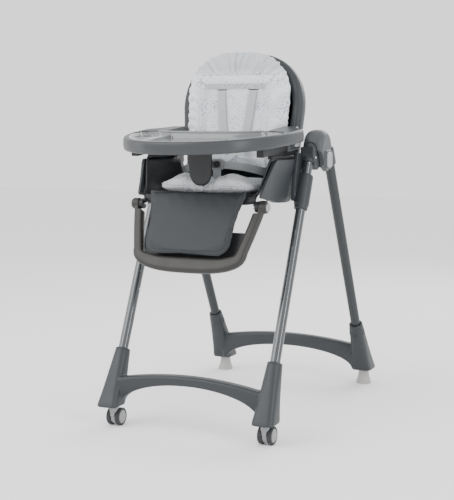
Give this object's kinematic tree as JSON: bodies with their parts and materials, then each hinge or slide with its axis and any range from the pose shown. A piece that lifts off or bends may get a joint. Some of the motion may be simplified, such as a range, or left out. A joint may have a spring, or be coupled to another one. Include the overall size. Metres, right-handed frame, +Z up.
{
  "type": "baby high chair",
  "caption": "Folding A-frame baby high chair with a height-adjustable padded seat, reclining back, sliding tray, leg rest and front casters.",
  "frame": {"origin": "on the floor, under the middle of the chair's bounding box", "axes": "+Z up, the chair faces -Y, +X is to the right seen from the front"},
  "size_m": [0.568, 0.9274, 1.0499],
  "materials": {
    "slate_plastic": "fine satin moulded texture",
    "dark_plastic": "fine satin moulded texture",
    "warm_grey_plastic": "satin moulded",
    "insert_plastic": "polished, wipe-clean",
    "button_plastic": "satin moulded",
    "caster_plastic": "smooth, slightly translucent",
    "tyre": "soft tread",
    "foot_rubber": "matt",
    "front_tube_paint": "gloss powder coat",
    "rear_tube_paint": "satin powder coat",
    "steel": "zinc plated",
    "cushion_fabric": "printed woven, wipe-clean face",
    "webbing": "woven webbing",
    "pad_leather": "coated fabric, fine grain, seamed edge"
  },
  "bodies": {
    "front_frame": {"front_base": "slate_plastic", "front_tube_right": "front_tube_paint", "front_tube_left": "front_tube_paint", "front_hub_right": "slate_plastic", "front_hub_left": "slate_plastic", "hub_pivot_pins": "steel", "stop_pins": "steel", "front_screws": "steel"},
    "rear_frame": {"rear_base": "slate_plastic", "rear_tube_right": "rear_tube_paint", "rear_tube_left": "rear_tube_paint", "hub_cap_right": "slate_plastic", "hub_cap_left": "slate_plastic", "rear_feet": "foot_rubber", "fold_springs_right": "steel", "fold_springs_left": "steel"},
    "fold_button_right": {"fold_button_right": "button_plastic"},
    "fold_button_left": {"fold_button_left": "button_plastic"},
    "caster_swivel_right": {"caster_fork_right": "caster_plastic"},
    "caster_swivel_left": {"caster_fork_left": "caster_plastic"},
    "caster_wheels_right": {"caster_tyres_right": "tyre", "caster_hubs_right": "caster_plastic"},
    "caster_wheels_left": {"caster_tyres_left": "tyre", "caster_hubs_left": "caster_plastic"},
    "seat_carriage": {"slider_right": "slate_plastic", "slider_left": "slate_plastic", "seat_shell": "dark_plastic", "side_cover_right": "slate_plastic", "side_cover_left": "slate_plastic", "tray_rail_right": "dark_plastic", "tray_rail_left": "dark_plastic", "seat_cushion": "cushion_fabric", "crotch_strap": "webbing", "waist_straps": "webbing", "buckle": "button_plastic", "recline_pins": "steel", "legrest_brackets": "dark_plastic", "legrest_pins": "steel"},
    "height_lever_right": {"height_lever_right": "slate_plastic"},
    "height_lever_left": {"height_lever_left": "slate_plastic"},
    "buckle_button": {"buckle_button": "dark_plastic"},
    "backrest": {"backrest_shell": "slate_plastic", "backrest_rear_panel": "dark_plastic", "back_cushion": "cushion_fabric", "shoulder_straps": "webbing"},
    "recline_lever": {"recline_lever": "slate_plastic"},
    "tray": {"tray_base": "slate_plastic", "crotch_post": "dark_plastic"},
    "tray_insert": {"tray_insert": "insert_plastic"},
    "tray_button_right": {"tray_button_right": "button_plastic"},
    "tray_button_left": {"tray_button_left": "button_plastic"},
    "legrest": {"legrest_frame": "warm_grey_plastic", "footrest_plate": "dark_plastic", "calf_pad": "pad_leather"},
    "legrest_button_right": {"legrest_button_right": "button_plastic"},
    "legrest_button_left": {"legrest_button_left": "button_plastic"}
  },
  "joints": [
    {"name": "rear_fold", "type": "hinge", "parent": "front_frame", "child": "rear_frame", "pos_m": [0, -0.005, 0.776], "axis": [1, 0, 0], "range_deg": [-44, 0]},
    {"name": "seat_height", "type": "slide", "parent": "front_frame", "child": "seat_carriage", "axis": [0, 0.4147, 0.91], "range_m": [-0.25, 0]},
    {"name": "backrest_recline", "type": "hinge", "parent": "seat_carriage", "child": "backrest", "pos_m": [0, -0.004, 0.672], "axis": [1, 0, 0], "range_deg": [-38, 0]},
    {"name": "legrest_tilt", "type": "hinge", "parent": "seat_carriage", "child": "legrest", "pos_m": [0, -0.292, 0.622], "axis": [1, 0, 0], "range_deg": [-55, 0]},
    {"name": "tray_slide", "type": "slide", "parent": "seat_carriage", "child": "tray", "axis": [0, -0.9951, -0.0985], "range_m": [0, 0.09]},
    {"name": "tray_insert_lift", "type": "slide", "parent": "tray", "child": "tray_insert", "axis": [0, -0.0985, 0.9951], "range_m": [0, 0.06]},
    {"name": "fold_button_press_right", "type": "slide", "parent": "rear_frame", "child": "fold_button_right", "axis": [-1, 0, 0], "range_m": [0, 0.004], "stiffness_N_per_m": 600, "springref_m": -0.002, "deforming": ["fold_springs_right"]},
    {"name": "legrest_button_press_right", "type": "slide", "parent": "legrest", "child": "legrest_button_right", "axis": [-1, 0, 0], "range_m": [0, 0.003], "stiffness_N_per_m": 600, "springref_m": -0.002},
    {"name": "tray_button_press_right", "type": "slide", "parent": "tray", "child": "tray_button_right", "axis": [-1, 0, 0], "range_m": [0, 0.003], "stiffness_N_per_m": 400, "springref_m": -0.002},
    {"name": "height_lever_squeeze_right", "type": "slide", "parent": "seat_carriage", "child": "height_lever_right", "axis": [0, 0.4147, 0.91], "range_m": [0, 0.006], "stiffness_N_per_m": 500, "springref_m": -0.003},
    {"name": "caster_swivel_right", "type": "hinge", "parent": "front_frame", "child": "caster_swivel_right", "pos_m": [0.23, -0.367, 0.06], "axis": [0, 0, 1], "continuous": true},
    {"name": "caster_spin_right", "type": "hinge", "parent": "caster_swivel_right", "child": "caster_wheels_right", "pos_m": [0.23, -0.355, 0.025], "axis": [1, 0, 0], "continuous": true},
    {"name": "fold_button_press_left", "type": "slide", "parent": "rear_frame", "child": "fold_button_left", "axis": [1, 0, 0], "range_m": [0, 0.004], "stiffness_N_per_m": 600, "springref_m": -0.002, "deforming": ["fold_springs_left"]},
    {"name": "legrest_button_press_left", "type": "slide", "parent": "legrest", "child": "legrest_button_left", "axis": [1, 0, 0], "range_m": [0, 0.003], "stiffness_N_per_m": 600, "springref_m": -0.002},
    {"name": "tray_button_press_left", "type": "slide", "parent": "tray", "child": "tray_button_left", "axis": [1, 0, 0], "range_m": [0, 0.003], "stiffness_N_per_m": 400, "springref_m": -0.002},
    {"name": "height_lever_squeeze_left", "type": "slide", "parent": "seat_carriage", "child": "height_lever_left", "axis": [0, 0.4147, 0.91], "range_m": [0, 0.006], "stiffness_N_per_m": 500, "springref_m": -0.003},
    {"name": "caster_swivel_left", "type": "hinge", "parent": "front_frame", "child": "caster_swivel_left", "pos_m": [-0.23, -0.367, 0.06], "axis": [0, 0, 1], "continuous": true},
    {"name": "caster_spin_left", "type": "hinge", "parent": "caster_swivel_left", "child": "caster_wheels_left", "pos_m": [-0.23, -0.355, 0.025], "axis": [1, 0, 0], "continuous": true},
    {"name": "recline_lever_squeeze", "type": "slide", "parent": "backrest", "child": "recline_lever", "axis": [0, 0.1392, 0.9903], "range_m": [0, 0.01], "stiffness_N_per_m": 500, "springref_m": -0.004},
    {"name": "buckle_press", "type": "slide", "parent": "seat_carriage", "child": "buckle_button", "axis": [0, 1, 0], "range_m": [0, 0.002], "stiffness_N_per_m": 400, "springref_m": -0.002}
  ]
}
